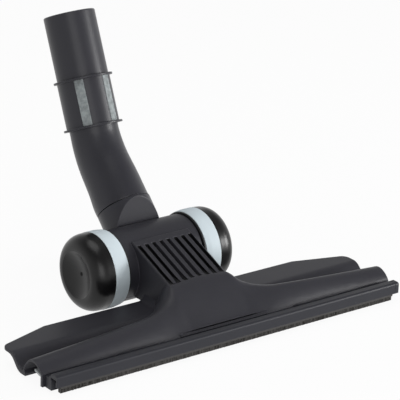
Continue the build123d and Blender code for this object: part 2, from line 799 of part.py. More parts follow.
# Wheels: a core with a hub and a web, a soft band round it and a dished cap
web_start = core_start + core_web_inset
web_end = web_start + core_web
with BuildPart() as wheel_core:
    core_face = wheel_face(
        [
            (core_start, axle_radius + running_clear),
            (hub_end, axle_radius + running_clear),
            (hub_end, hub_radius),
            (web_end, hub_radius),
            (web_end, rim_inner),
            (band_end, rim_inner),
            (band_end, rim_outer),
            (band_start, rim_outer),
            (band_start, wheel_radius - core_flange_drop),
            (core_start, wheel_radius - core_flange_drop),
            (core_start, rim_inner),
            (web_start, rim_inner),
            (web_start, hub_radius),
            (core_start, hub_radius),
        ]
    )
    revolve(core_face, axis=axle_line)
finish_pair(wheel_core.part, "wheel_core")

with BuildPart() as wheel_band:
    band_face = wheel_face(
        [
            (band_start, rim_outer + press_clear),
            (band_end, rim_outer + press_clear),
            (band_end, wheel_radius),
            (band_start + band_taper_width, wheel_radius),
            (band_start, wheel_radius - band_taper_drop),
        ]
    )
    revolve(band_face, axis=axle_line)
finish_pair(wheel_band.part, "wheel_band")

cap_skirt_radius = rim_inner - fit_clear
cap_side_radius = wheel_radius - cap_side_drop
dish_sphere = (cap_dish_radius**2 + cap_dish_depth**2) / (2 * cap_dish_depth)


def cap_face(start_points, side_radius, end):
    """Half-section face of the cap's dome and dish, back to the axle through the start points."""
    dish_bottom = end - cap_dish_depth
    dish_half_x = dish_bottom + dish_sphere - math.sqrt(dish_sphere**2 - (cap_dish_radius / 2) ** 2)
    dome_start = band_end + cap_side
    with BuildSketch(wheel_section) as face:
        with BuildLine():
            Polyline((dish_bottom, 0), *start_points, (dome_start, side_radius))
            EllipticalCenterArc(
                (dome_start, cap_rim_radius),
                end - dome_start,
                side_radius - cap_rim_radius,
                start_angle=0,
                arc_size=90,
            )
            Line((end, cap_rim_radius), (end, cap_dish_radius))
            ThreePointArc((end, cap_dish_radius), (dish_half_x, cap_dish_radius / 2), (dish_bottom, 0))
        make_face()
    return face.sketch


with BuildPart() as cap_void:
    cap_void_points = [
        (band_end - cap_skirt_length - cut_over, 0),
        (band_end - cap_skirt_length - cut_over, cap_skirt_radius - cap_skirt_wall),
        (band_end + cap_wall, cap_skirt_radius - cap_skirt_wall),
        (band_end + cap_wall, cap_side_radius - cap_wall),
    ]
    revolve(cap_face(cap_void_points, cap_side_radius - cap_wall, cap_end - cap_wall), axis=axle_line)

with BuildPart() as hub_cap:
    cap_points = [
        (band_end - cap_skirt_length, 0),
        (band_end - cap_skirt_length, cap_skirt_radius),
        (band_end, cap_skirt_radius),
        (band_end, wheel_radius - fit_clear),
    ]
    revolve(cap_face(cap_points, cap_side_radius, cap_end), axis=axle_line)
    dish_edges = hub_cap.edges().filter_by(GeomType.CIRCLE)
    dish_edges = dish_edges.filter_by(lambda edge: abs(edge.radius - cap_dish_radius) < press_clear)
    fillet(dish_edges, cap_rim_round)
    add(cap_void.part, mode=Mode.SUBTRACT)
    gate_mark = axle_ring(cap_end - cap_dish_depth - gate_mark_depth, gate_mark_radius)
    extrude(gate_mark, amount=gate_mark_depth + cut_over, mode=Mode.SUBTRACT)
finish_pair(hub_cap.part, "hub_cap")

# Front rail with the brush slot below it, and the stop that closes its right-hand end
rail_points = [
    (arch_front_reach, rail_back_bottom_z),
    (arch_front_reach, rail_back_top_z),
    (rail_shelf_reach, rail_shelf_z),
    (rail_crest_reach, rail_top_z),
    (rail_front_reach, rail_top_z),
    (rail_front_reach, rail_front_bottom_z),
    (brush_reach - brush_slot_width / 2, rail_front_bottom_z),
    (brush_reach - brush_slot_width / 2, rail_back_bottom_z),
]


def rail_face(x):
    """Outer section of the rail, with its crest rounded."""
    with BuildSketch(section.offset(x)) as face:
        with BuildLine():
            Polyline(*[(reach(distance), z) for distance, z in rail_points], close=True)
        make_face()
        fillet(face.vertices().group_by(Axis.Y)[-1], rail_crest_radius)
    return face.sketch


def slot_face(half_width, bottom_z, top_z, x):
    """Upright rectangle in a section plane, centred on the brush."""
    return section_face(
        [
            (brush_reach - half_width, bottom_z),
            (brush_reach + half_width, bottom_z),
            (brush_reach + half_width, top_z),
            (brush_reach - half_width, top_z),
        ],
        x,
    )


rail_length = 2 * rail_half - rail_stop_length
slot_flange_half = brush_slot_width / 2 + brush_slot_flange
slot_flange_z = brush_slot_top_z - brush_slot_flange_height
with BuildPart() as front_rail:
    extrude(rail_face(-rail_half), amount=rail_length)
    brush_slot = slot_face(brush_slot_width / 2, rail_back_bottom_z, brush_slot_top_z, -rail_half)
    extrude(brush_slot, amount=rail_length, mode=Mode.SUBTRACT)
    slot_flange = slot_face(slot_flange_half, slot_flange_z, brush_slot_top_z, -rail_half)
    extrude(slot_flange, amount=rail_length, mode=Mode.SUBTRACT)
    with BuildSketch(front_plane(arch_front_reach)):
        with Locations(*rail_screw_places):
            Circle(screw_radius + press_clear)
    extrude(amount=lip_inner_reach + rail_screw_length + fit_clear - arch_front_reach, mode=Mode.SUBTRACT)
finish(front_rail.part, "front_rail")

with BuildPart() as rail_end_stop:
    extrude(rail_face(rail_half - rail_stop_length), amount=rail_stop_length)
    chamfer(rail_end_stop.faces().sort_by(Axis.X)[-1].edges().sort_by(Axis.Z)[-3:], rail_stop_radius)
finish(rail_end_stop.part, "rail_end_stop")

with BuildPart() as rail_screws:
    with BuildSketch(front_plane(lip_inner_reach - screw_head_height)):
        with Locations(*rail_screw_places):
            Circle(screw_head_radius)
    extrude(amount=screw_head_height)
    with BuildSketch(front_plane(lip_inner_reach)):
        with Locations(*rail_screw_places):
            Circle(screw_radius)
    extrude(amount=rail_screw_length)
finish(rail_screws.part, "rail_screws")

# Brush: a flanged channel that slides into the rail, and the row of bristles it holds
bristle_half_width = channel_half_width - channel_wall
bristle_top_z = channel_top_z - channel_wall - bristle_head_gap
with BuildPart() as brush_channel:
    extrude(slot_face(channel_half_width, channel_bottom_z, channel_top_z, 0), amount=brush_half, both=True)
    channel_flange = slot_face(slot_flange_half - fit_clear, slot_flange_z + fit_clear, channel_top_z, 0)
    extrude(channel_flange, amount=brush_half, both=True)
    channel_inside = slot_face(bristle_half_width, channel_bottom_z, channel_top_z - channel_wall, 0)
    extrude(channel_inside, amount=brush_half, both=True, mode=Mode.SUBTRACT)
finish(brush_channel.part, "brush_channel")

with BuildPart() as brush_bristles:
    extrude(slot_face(bristle_half_width, 0, bristle_top_z, 0), amount=brush_half, both=True)
finish(brush_bristles.part, "brush_bristles")

# Hooked lip inside the arch's front leg, clamped by the rail's screws
with BuildPart() as inner_lip:
    lip_face = section_face(
        [
            (lip_outer_reach, lip_bottom_z),
            (lip_outer_reach, lip_bend_z),
            (lip_outer_reach - lip_bend, lip_bend_z + lip_bend),
            (lip_hook_reach, lip_hook_z),
            (lip_hook_reach, lip_hook_z - lip_wall),
            (lip_inner_reach - lip_bend, lip_bend_z + lip_bend - lip_wall),
            (lip_inner_reach, lip_bend_z),
            (lip_inner_reach, lip_bottom_z),
        ]
    )
    extrude(lip_face, amount=half - lip_end_inset, both=True)
    with BuildSketch(front_plane(lip_inner_reach)):
        with Locations(*rail_screw_places):
            Circle(screw_radius + fit_clear)
    extrude(amount=lip_wall, mode=Mode.SUBTRACT)
finish(inner_lip.part, "inner_lip")
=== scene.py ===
"""Looks of the vacuum floor brush head: moulded edges, bristles, screws, materials and studio."""

import json
import math
import random

import bmesh
import bpy
from bpy.props import FloatProperty, FloatVectorProperty, IntProperty, PointerProperty
from mathutils import Matrix, Vector


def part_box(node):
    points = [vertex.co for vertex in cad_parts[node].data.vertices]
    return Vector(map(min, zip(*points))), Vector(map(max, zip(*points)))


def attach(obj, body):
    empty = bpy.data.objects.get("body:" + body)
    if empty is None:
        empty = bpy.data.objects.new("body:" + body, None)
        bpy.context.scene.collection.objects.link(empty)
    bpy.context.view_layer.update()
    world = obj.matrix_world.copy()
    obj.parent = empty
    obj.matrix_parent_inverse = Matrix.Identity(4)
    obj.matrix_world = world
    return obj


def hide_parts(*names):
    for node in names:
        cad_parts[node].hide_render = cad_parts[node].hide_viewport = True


bl_info = {
    "name": "Vacuum floor brush head",
    "version": (1, 0, 0),
    "blender": (4, 5, 0),
    "location": "View3D > Sidebar > Brush head",
    "description": "Finishes the packed brush head: edges, bristles, screws, materials and studio",
    "category": "Object",
}

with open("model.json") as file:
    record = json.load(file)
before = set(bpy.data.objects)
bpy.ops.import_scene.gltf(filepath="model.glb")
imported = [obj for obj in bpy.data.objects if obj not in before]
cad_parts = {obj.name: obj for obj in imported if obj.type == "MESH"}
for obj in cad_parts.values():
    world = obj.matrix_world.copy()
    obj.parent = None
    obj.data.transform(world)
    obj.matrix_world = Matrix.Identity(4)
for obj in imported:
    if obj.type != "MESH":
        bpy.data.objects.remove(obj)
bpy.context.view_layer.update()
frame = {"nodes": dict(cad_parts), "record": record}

BODY_OF = {
    node: body for body, nodes in frame["record"]["behaviour"]["bodies"].items() for node in nodes
}
SLOT_OF = {entry["node"]: entry["material_slot"] for entry in frame["record"]["subparts"]}
JOINTS = {joint["name"]: joint for joint in frame["record"]["behaviour"]["joints"]}
MM = 0.001

# Wheel axle, and the plane of the grille panel above and in front of it
AXLE = Vector(JOINTS["neck_tilt"]["pos_m"])
PANEL_LEAN = math.radians(21.3)
PANEL_HEIGHT = 24.8 * MM
PANEL_NORMAL = Vector((0, -math.sin(PANEL_LEAN), math.cos(PANEL_LEAN)))
PANEL_POINT = AXLE + PANEL_NORMAL * PANEL_HEIGHT

# The grille's slots, whose faces get painted shade: depths below the panel, reaches in front of the
# axle, and half of their width
SLOT_DEPTHS = (0.6 * MM, 4.2 * MM)
SLOT_REACHES = (17.5 * MM, 56.0 * MM)
SLOT_HALF_WIDTH = 22.2 * MM

# Heights between which the brush channel's face turns from dark to its bright rolled edge
ROLLED_EDGE = (4.5 * MM, 4.6 * MM)

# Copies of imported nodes: merging, flattening, rounding and shading
MERGE_DISTANCE = 2e-6
SLIVER_LENGTH = 1e-6
FLAT_ANGLE = math.radians(0.2)
ROUNDED_ABOVE = math.radians(28)
SMOOTH_BELOW = math.radians(50)
BEVEL_STEPS = 2

# Bristles: wander and uneven tips in mm, lean in radians, inset and tip as shares of the radius
HAIR_SEED = 7
HAIR_WANDER = 0.08
HAIR_UNEVEN = 0.12
HAIR_LEAN = 0.012
HAIR_INSET_SHARE = 1.3
HAIR_TIP_SHARE = 0.85
HAIR_SIDES = 3
HEART_INSET = 0.3 * MM

# Screws: cells along the grid that holds the cross, and shares of the head's radius
SCREW_GRID = 5
SCREW_GRID_SHARE = 0.62
SCREW_RIM_SHARE = 0.15
RAIL_SCREW_COUNT = 4

# Colours without a setting
SEAL_COLOUR = (0.012, 0.012, 0.012)
STEEL_COLOUR = (0.55, 0.55, 0.56)
CHANNEL_COLOUR = (0.86, 0.87, 0.88)
CHANNEL_FACE_COLOUR = (0.028, 0.026, 0.024, 1)
BRISTLE_COLOURS = ((0.016, 0.0145, 0.013, 1), (0.044, 0.040, 0.036, 1))
FLOOR_COLOUR = (0.9, 0.9, 0.9, 1)
WHITE = (1, 1, 1, 1)

# Sockets of a colour mix node
MIX_FACTOR, MIX_FIRST, MIX_SECOND, MIX_RESULT = 0, 6, 7, 2

# Studio: point that the lamps aim at, the floor, and levels of light
LAMP_TARGET = (0.0, -0.03, 0.05)
FLOOR_SIZE = 6.0
FLOOR_DROP = 0.0004
FLOOR_GLOW = 0.93
FILL_LEVEL = 0.32

# Camera: its axes, and its place along them from the axle in metres
CAMERA_RIGHT = Vector((0.7975, -0.6024, 0.0337))
CAMERA_UP = Vector((0.1858, 0.2983, 0.9362))
CAMERA_BACK = Vector((-0.5740, -0.7404, 0.3498))
CAMERA_PLACE = (0.035158, 0.038217, 1.466729)
CAMERA_LENS = 199.75
CAMERA_SENSOR = 36.0


# ---------------------------------------------------------------- settings


class BrushHeadSizes(bpy.types.PropertyGroup):
    """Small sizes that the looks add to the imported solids."""

    shell_edge: FloatProperty(
        name="Shell edge", description="Rounding on the edges of the shell moulding",
        default=0.4 * MM, unit="LENGTH",
    )
    part_edge: FloatProperty(
        name="Part edge", description="Rounding on the edges of the smaller mouldings",
        default=0.25 * MM, unit="LENGTH",
    )
    metal_edge: FloatProperty(
        name="Metal edge", description="Rounding on the edges of steel and channel parts",
        default=0.08 * MM, unit="LENGTH",
    )
    hair_pitch: FloatProperty(
        name="Hair pitch", description="Distance between bristles along a row",
        default=0.42 * MM, unit="LENGTH",
    )
    hair_rows: IntProperty(
        name="Hair rows", description="Rows of bristles across the channel", default=7,
    )
    hair_radius: FloatProperty(
        name="Hair radius", description="Radius of one bristle at its root",
        default=0.24 * MM, unit="LENGTH",
    )
    screw_head: FloatProperty(
        name="Screw head", description="Radius of a screw's head",
        default=2.6 * MM, unit="LENGTH",
    )
    screw_head_height: FloatProperty(
        name="Screw head height", description="Height of a screw's head",
        default=1.8 * MM, unit="LENGTH",
    )
    screw_shank: FloatProperty(
        name="Screw shank", description="Radius of a screw's shank",
        default=1.5 * MM, unit="LENGTH",
    )
    screw_recess: FloatProperty(
        name="Screw recess", description="Depth of the cross under a screw's face",
        default=1.0 * MM, unit="LENGTH",
    )


class BrushHeadColours(bpy.types.PropertyGroup):
    """Colours of the finishes."""

    body: FloatVectorProperty(
        name="Body", description="Charcoal of the shell and the tube", subtype="COLOR",
        default=(0.0265, 0.0262, 0.0325),
    )
    rail: FloatVectorProperty(
        name="Rail", description="Dark grey of the front rail", subtype="COLOR",
        default=(0.0235, 0.0240, 0.0300),
    )
    cap: FloatVectorProperty(
        name="Cap", description="Black of the wheel caps", subtype="COLOR",
        default=(0.0055, 0.0053, 0.0056),
    )
    core: FloatVectorProperty(
        name="Core", description="Black of the wheel cores and plates", subtype="COLOR",
        default=(0.012, 0.012, 0.013),
    )
    band: FloatVectorProperty(
        name="Band", description="Pale blue-grey of the wheel bands", subtype="COLOR",
        default=(0.60, 0.68, 0.72),
    )
    strip: FloatVectorProperty(
        name="Strip", description="Mid grey of the collar strips", subtype="COLOR",
        default=(0.25, 0.275, 0.28),
    )
    lip: FloatVectorProperty(
        name="Lip", description="Light grey of the inner lip", subtype="COLOR",
        default=(0.40, 0.42, 0.43),
    )


# ---------------------------------------------------------------- shared node groups


def new_group(name, inputs, outputs):
    """Empty shader group with named value sockets; returns it with its two end nodes."""
    group = bpy.data.node_groups.new(name, "ShaderNodeTree")
    for label, default in inputs:
        socket = group.interface.new_socket(label, in_out="INPUT", socket_type="NodeSocketFloat")
        socket.default_value = default
    for label in outputs:
        group.interface.new_socket(label, in_out="OUTPUT", socket_type="NodeSocketFloat")
    return group, group.nodes.new("NodeGroupInput"), group.nodes.new("NodeGroupOutput")


def add_node(tree, kind, **values):
    """New node with its properties and plain input values set."""
    node = tree.nodes.new(kind)
    for key, value in values.items():
        if hasattr(node, key):
            setattr(node, key, value)
        else:
            node.inputs[key.replace("_", " ")].default_value = value
    return node


def moulded_grain_group():
    """Fine grain of a spark-eroded mould, and the slow mottle of the plastic's colour and gloss."""
    group, start, end = new_group(
        "Moulded grain", [("Grain Scale", 2600.0), ("Mottle Scale", 28.0)], ["Grain", "Mottle"]
    )
    place = add_node(group, "ShaderNodeTexCoord")
    grain = add_node(group, "ShaderNodeTexNoise", Detail=3.0, Roughness=0.6)
    mottle = add_node(group, "ShaderNodeTexNoise", Detail=4.0, Roughness=0.55)
    for noise, label in ((grain, "Grain Scale"), (mottle, "Mottle Scale")):
        group.links.new(place.outputs["Object"], noise.inputs["Vector"])
        group.links.new(start.outputs[label], noise.inputs["Scale"])
    group.links.new(grain.outputs["Fac"], end.inputs["Grain"])
    group.links.new(mottle.outputs["Fac"], end.inputs["Mottle"])
    return group


def worn_edge_group():
    """Mask of the rounded edges, broken up by noise where handling has rubbed them."""
    group, start, end = new_group("Worn edge", [("Amount", 0.5), ("Break Up", 160.0)], ["Wear"])
    place = add_node(group, "ShaderNodeTexCoord")
    rounded = add_node(group, "ShaderNodeAttribute", attribute_name="rounded")
    noise = add_node(group, "ShaderNodeTexNoise", Detail=3.0)
    spread = add_node(group, "ShaderNodeMapRange", From_Min=0.35, From_Max=0.65)
    on_edge = add_node(group, "ShaderNodeMath", operation="MULTIPLY")
    amount = add_node(group, "ShaderNodeMath", operation="MULTIPLY")
    group.links.new(place.outputs["Object"], noise.inputs["Vector"])
    group.links.new(start.outputs["Break Up"], noise.inputs["Scale"])
    group.links.new(noise.outputs["Fac"], spread.inputs["Value"])
    group.links.new(rounded.outputs["Fac"], on_edge.inputs[0])
    group.links.new(spread.outputs["Result"], on_edge.inputs[1])
    group.links.new(on_edge.outputs[0], amount.inputs[0])
    group.links.new(start.outputs["Amount"], amount.inputs[1])
    group.links.new(amount.outputs[0], end.inputs["Wear"])
    return group


# ---------------------------------------------------------------- materials


def principled(name):
    """New node material; returns its tree and its shader node."""
    material = bpy.data.materials.new(f"{name}_finish")
    material.use_nodes = True
    return material.node_tree, material.node_tree.nodes["Principled BSDF"]


def scaled(colour, factor):
    """Colour made lighter or darker, with full alpha."""
    return (*[min(channel * factor, 1.0) for channel in colour], 1.0)


def mix_colours(tree, factor, first, second):
    """Mix node between two colours, each plain or linked; returns its colour output."""
    mix = add_node(tree, "ShaderNodeMix", data_type="RGBA")
    tree.links.new(factor, mix.inputs[MIX_FACTOR])
    for colour, socket in ((first, MIX_FIRST), (second, MIX_SECOND)):
        if isinstance(colour, bpy.types.NodeSocket):
            tree.links.new(colour, mix.inputs[socket])
        else:
            mix.inputs[socket].default_value = colour
    return mix.outputs[MIX_RESULT]


def moulded_plastic(name, groups, colour, roughness, specular, grain_scale, grain_depth, wear):
    """Satin moulded plastic: mottled colour and gloss, fine grain, lightly rubbed edges, and painted
    shade on faces marked as inside the grille's slots.
    """
    tree, shader = principled(name)
    grain = add_node(tree, "ShaderNodeGroup", node_tree=groups["grain"], Grain_Scale=grain_scale)
    edge = add_node(tree, "ShaderNodeGroup", node_tree=groups["edge"], Amount=wear)
    mottled = mix_colours(tree, grain.outputs["Mottle"], scaled(colour, 0.88), scaled(colour, 1.12))
    rubbed = mix_colours(tree, edge.outputs["Wear"], mottled, scaled(colour, 2.4))
    # Painted shade: faces whose recess attribute is 1, inside the grille's slots, are darkened to 0.12
    # of the colour
    recess = add_node(tree, "ShaderNodeAttribute", attribute_name="recess")
    colour_with_painted_slot_shade = mix_colours(tree, recess.outputs["Fac"], rubbed, scaled(colour, 0.12))
    gloss = add_node(tree, "ShaderNodeMapRange", To_Min=roughness - 0.05, To_Max=roughness + 0.05)
    bump = add_node(tree, "ShaderNodeBump", Strength=0.25, Distance=grain_depth)
    tree.links.new(colour_with_painted_slot_shade, shader.inputs["Base Color"])
    tree.links.new(grain.outputs["Mottle"], gloss.inputs["Value"])
    tree.links.new(gloss.outputs["Result"], shader.inputs["Roughness"])
    tree.links.new(grain.outputs["Grain"], bump.inputs["Height"])
    tree.links.new(bump.outputs["Normal"], shader.inputs["Normal"])
    shader.inputs["Specular IOR Level"].default_value = specular


def felted_strip(name, groups, colour):
    """Mid grey strip with a mottled, slightly fibrous face."""
    tree, shader = principled(name)
    grain = add_node(
        tree, "ShaderNodeGroup", node_tree=groups["grain"], Grain_Scale=900.0, Mottle_Scale=330.0
    )
    spread = add_node(tree, "ShaderNodeMapRange", From_Min=0.36, From_Max=0.64)
    bump = add_node(tree, "ShaderNodeBump", Strength=0.5, Distance=0.0001)
    tree.links.new(grain.outputs["Mottle"], spread.inputs["Value"])
    colours = mix_colours(tree, spread.outputs["Result"], scaled(colour, 0.72), scaled(colour, 1.3))
    tree.links.new(colours, shader.inputs["Base Color"])
    tree.links.new(grain.outputs["Grain"], bump.inputs["Height"])
    tree.links.new(bump.outputs["Normal"], shader.inputs["Normal"])
    shader.inputs["Roughness"].default_value = 0.7


def brushed_metal(name, groups, colour, roughness):
    """Plated or drawn metal with fine uneven gloss."""
    tree, shader = principled(name)
    grain = add_node(tree, "ShaderNodeGroup", node_tree=groups["grain"], Grain_Scale=1800.0)
    gloss = add_node(tree, "ShaderNodeMapRange", To_Min=roughness - 0.1, To_Max=roughness + 0.1)
    colours = mix_colours(tree, grain.outputs["Mottle"], scaled(colour, 0.85), scaled(colour, 1.1))
    tree.links.new(colours, shader.inputs["Base Color"])
    tree.links.new(grain.outputs["Grain"], gloss.inputs["Value"])
    tree.links.new(gloss.outputs["Result"], shader.inputs["Roughness"])
    shader.inputs["Metallic"].default_value = 1.0


def rolled_channel(name, groups, colour):
    """Bright rolled edge under the rail, above a dark face that holds the bristles."""
    tree, shader = principled(name)
    grain = add_node(tree, "ShaderNodeGroup", node_tree=groups["grain"])
    place = add_node(tree, "ShaderNodeTexCoord")
    height = add_node(tree, "ShaderNodeSeparateXYZ")
    bright = add_node(tree, "ShaderNodeMapRange", From_Min=ROLLED_EDGE[0], From_Max=ROLLED_EDGE[1])
    gloss = add_node(tree, "ShaderNodeMapRange", To_Min=0.55, To_Max=0.3)
    tree.links.new(place.outputs["Object"], height.inputs[0])
    tree.links.new(height.outputs["Z"], bright.inputs["Value"])
    edge = mix_colours(tree, grain.outputs["Mottle"], scaled(colour, 0.85), scaled(colour, 1.1))
    face = mix_colours(tree, bright.outputs["Result"], CHANNEL_FACE_COLOUR, edge)
    tree.links.new(face, shader.inputs["Base Color"])
    tree.links.new(bright.outputs["Result"], shader.inputs["Metallic"])
    tree.links.new(bright.outputs["Result"], gloss.inputs["Value"])
    tree.links.new(gloss.outputs["Result"], shader.inputs["Roughness"])


def bristle_material(name, groups):
    """Dark nylon bristles, with small patches lighter or darker."""
    tree, shader = principled(name)
    grain = add_node(tree, "ShaderNodeGroup", node_tree=groups["grain"], Mottle_Scale=900.0)
    colours = mix_colours(tree, grain.outputs["Mottle"], *BRISTLE_COLOURS)
    tree.links.new(colours, shader.inputs["Base Color"])
    shader.inputs["Roughness"].default_value = 0.5


def make_materials(colours):
    """Makes every finish of the brush head, named after the record's slot."""
    groups = {"grain": moulded_grain_group(), "edge": worn_edge_group()}
    # Colour, roughness, specular level, grain scale, grain depth in metres, and edge wear
    plastics = {
        "shell_plastic": (colours.body, 0.46, 0.26, 2400.0, 0.00004, 0.3),
        "tube_plastic": (colours.body, 0.36, 0.30, 2400.0, 0.00003, 0.3),
        "rail_plastic": (colours.rail, 0.40, 0.24, 3000.0, 0.00003, 0.3),
        "cap_plastic": (colours.cap, 0.29, 0.30, 3200.0, 0.00002, 0.2),
        "core_plastic": (colours.core, 0.48, 0.35, 2600.0, 0.00004, 0.3),
        "band_rubber": (colours.band, 0.55, 0.35, 2600.0, 0.00005, 0.05),
        "seal_rubber": (SEAL_COLOUR, 0.62, 0.3, 2200.0, 0.00006, 0.1),
        "lip_plastic": (colours.lip, 0.42, 0.45, 2600.0, 0.00003, 0.1),
    }
    for slot, (colour, *values) in plastics.items():
        moulded_plastic(slot, groups, tuple(colour), *values)
    felted_strip("grip_rubber", groups, tuple(colours.strip))
    brushed_metal("steel", groups, STEEL_COLOUR, 0.34)
    rolled_channel("channel_metal", groups, CHANNEL_COLOUR)
    bristle_material("bristle_nylon", groups)


def dress(piece, slot):
    """Gives a piece the one finish made here for a record slot, or for the floor."""
    piece.data.materials.clear()
    piece.data.materials.append(bpy.data.materials[f"{slot}_finish"])


# ---------------------------------------------------------------- piece helpers


def place_piece(name, mesh, node):
    """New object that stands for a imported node, on the node's body and in its finish."""
    piece = bpy.data.objects.new(name, mesh)
    bpy.context.scene.collection.objects.link(piece)
    dress(piece, SLOT_OF[node])
    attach(piece, BODY_OF[node])
    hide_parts(node)
    return piece


def mesh_from(bm, name):
    """Mesh made of a bmesh, which is freed."""
    mesh = bpy.data.meshes.new(name)
    bm.to_mesh(mesh)
    bm.free()
    return mesh


def bevel(bm, edges, offset):
    """Rounds edges; returns the new faces."""
    return bmesh.ops.bevel(
        bm, geom=edges, offset=offset, offset_type="OFFSET", segments=BEVEL_STEPS, profile=0.5,
        affect="EDGES", clamp_overlap=False, material=-1,
    )["faces"]


def round_edges(bm, offset):
    """Rounds every sharp edge and marks the new faces as rounded."""
    mark = bm.faces.layers.float.new("rounded")
    shared = [edge for edge in bm.edges if len(edge.link_faces) == 2]
    sharp = [edge for edge in shared if edge.calc_face_angle() > ROUNDED_ABOVE]
    if sharp:
        for face in bevel(bm, sharp, offset):
            face[mark] = 1.0
        bmesh.ops.dissolve_degenerate(bm, dist=SLIVER_LENGTH, edges=bm.edges)


def mark_painted_slot_shade(bm):
    """Marks the faces inside the grille's slots for painted shade, so that the shell's finish renders
    them dark.
    """
    # The face layer named recess holds the painted shade mask: 1 inside the grille's slots, 0
    # elsewhere
    mark = bm.faces.layers.float.new("recess")
    for face in bm.faces:
        middle = face.calc_center_median()
        depth = (PANEL_POINT - middle).dot(PANEL_NORMAL)
        in_reach = SLOT_REACHES[0] < AXLE.y - middle.y < SLOT_REACHES[1]
        in_width = abs(middle.x) < SLOT_HALF_WIDTH
        in_depth = SLOT_DEPTHS[0] < depth < SLOT_DEPTHS[1]
        face[mark] = float(in_reach and in_width and in_depth)


def finished_copy(node, offset):
    """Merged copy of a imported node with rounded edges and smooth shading."""
    bm = bmesh.new()
    bm.from_mesh(frame["nodes"][node].data)
    bmesh.ops.remove_doubles(bm, verts=bm.verts, dist=MERGE_DISTANCE)
    bmesh.ops.dissolve_limit(bm, angle_limit=FLAT_ANGLE, verts=bm.verts, edges=bm.edges)
    round_edges(bm, offset)
    # Only the shell gets painted shade, in its grille's slots
    if node == "upper_shell":
        mark_painted_slot_shade(bm)
    for face in bm.faces:
        face.smooth = True
    for edge in bm.edges:
        edge.smooth = len(edge.link_faces) == 2 and edge.calc_face_angle() < SMOOTH_BELOW
    name = f"{node}_finished"
    piece = place_piece(name, mesh_from(bm, name), node)
    settle = piece.modifiers.new("Even shading", "WEIGHTED_NORMAL")
    settle.keep_sharp = True


def boundary(bm):
    """Edges with an open side."""
    return [edge for edge in bm.edges if edge.is_boundary or edge.is_wire]


def verts_in(result):
    """Corners among the parts that a bmesh operator has made."""
    return [item for item in result["geom"] if isinstance(item, bmesh.types.BMVert)]


def screw_mesh(sizes, length):
    """Screw that points down, with the middle of its head's face at the origin.

    Known fault: the faces over the cross are kept, and the bridge to the rim is twisted, so faces
    overlap on the head and the cross doesn't show.
    """
    bm = bmesh.new()
    half = sizes.screw_head * SCREW_GRID_SHARE
    cell = half * 2 / SCREW_GRID
    bmesh.ops.create_grid(bm, x_segments=SCREW_GRID, y_segments=SCREW_GRID, size=half)
    # The cross is the middle cell and the four cells beside it
    cross = []
    for face in bm.faces:
        near, far = sorted(abs(place) for place in face.calc_center_median().xy)
        if near < cell / 2 and far < cell * 1.5:
            cross.append(face)
    bottom = verts_in(bmesh.ops.extrude_face_region(bm, geom=cross))
    bmesh.ops.translate(bm, verts=bottom, vec=(0, 0, -sizes.screw_recess))
    bmesh.ops.create_circle(bm, cap_ends=False, segments=4 * SCREW_GRID, radius=sizes.screw_head)
    bmesh.ops.bridge_loops(bm, edges=boundary(bm))
    head_rim = boundary(bm)
    shank_share = sizes.screw_shank / sizes.screw_head
    shank_length = length - sizes.screw_head_height
    for share, drop in ((1, sizes.screw_head_height), (shank_share, 0), (1, shank_length)):
        ring = verts_in(bmesh.ops.extrude_edge_only(bm, edges=boundary(bm)))
        bmesh.ops.scale(bm, verts=ring, vec=(share, share, 1))
        bmesh.ops.translate(bm, verts=ring, vec=(0, 0, -drop))
    bmesh.ops.contextual_create(bm, geom=boundary(bm))
    bevel(bm, head_rim, SCREW_RIM_SHARE * sizes.screw_head)
    bmesh.ops.recalc_face_normals(bm, faces=bm.faces)
    return mesh_from(bm, "screw")


def screw_set(node, screw, places):
    """One piece that holds a copy of a screw at each place."""
    bm = bmesh.new()
    for place in places:
        before = set(bm.verts)
        bm.from_mesh(screw)
        added = [vert for vert in bm.verts if vert not in before]
        bmesh.ops.transform(bm, matrix=place, verts=added)
    name = f"{node}_finished"
    mesh = mesh_from(bm, name)
    bpy.data.meshes.remove(screw)
    place_piece(name, mesh, node)


# ---------------------------------------------------------------- operators


class BRUSHHEAD_OT_finishes(bpy.types.Operator):
    """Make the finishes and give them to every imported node"""

    bl_idname = "brushhead.finishes"
    bl_label = "Finishes"

    def execute(self, context):
        make_materials(context.scene.brush_head_colours)
        for node, slot in SLOT_OF.items():
            dress(frame["nodes"][node], slot)
        return {"FINISHED"}


class BRUSHHEAD_OT_shell(bpy.types.Operator):
    """Finish the shell and the cover behind the drum"""

    bl_idname = "brushhead.shell"
    bl_label = "Shell"

    def execute(self, context):
        sizes = context.scene.brush_head_sizes
        finished_copy("upper_shell", sizes.shell_edge)
        finished_copy("drum_cover", sizes.part_edge)
        return {"FINISHED"}


class BRUSHHEAD_OT_tube(bpy.types.Operator):
    """Finish the neck, the bent tube and its collar"""

    bl_idname = "brushhead.tube"
    bl_label = "Tube"

    def execute(self, context):
        sizes = context.scene.brush_head_sizes
        for node in ("swivel_neck", "elbow_tube", "collar_sleeve", "collar_grip_strips"):
            finished_copy(node, sizes.part_edge)
        return {"FINISHED"}


class BRUSHHEAD_OT_wheels(bpy.types.Operator):
    """Finish the wheels, their caps and bands, and the plates and axles that carry them"""

    bl_idname = "brushhead.wheels"
    bl_label = "Wheels"

    def execute(self, context):
        sizes = context.scene.brush_head_sizes
        for side in ("left", "right"):
            for node in ("wheel_core", "wheel_band", "hub_cap", "axle_plate"):
                finished_copy(f"{node}_{side}", sizes.part_edge)
            for node in ("wheel_axle", "axle_clip"):
                finished_copy(f"{node}_{side}", sizes.metal_edge)
        return {"FINISHED"}


class BRUSHHEAD_OT_rail(bpy.types.Operator):
    """Finish the front rail, its end stop, the channel and the inner lip"""

    bl_idname = "brushhead.rail"
    bl_label = "Rail"

    def execute(self, context):
        sizes = context.scene.brush_head_sizes
        for node in ("front_rail", "rail_end_stop"):
            finished_copy(node, sizes.part_edge)
        for node in ("brush_channel", "inner_lip"):
            finished_copy(node, sizes.metal_edge)
        return {"FINISHED"}


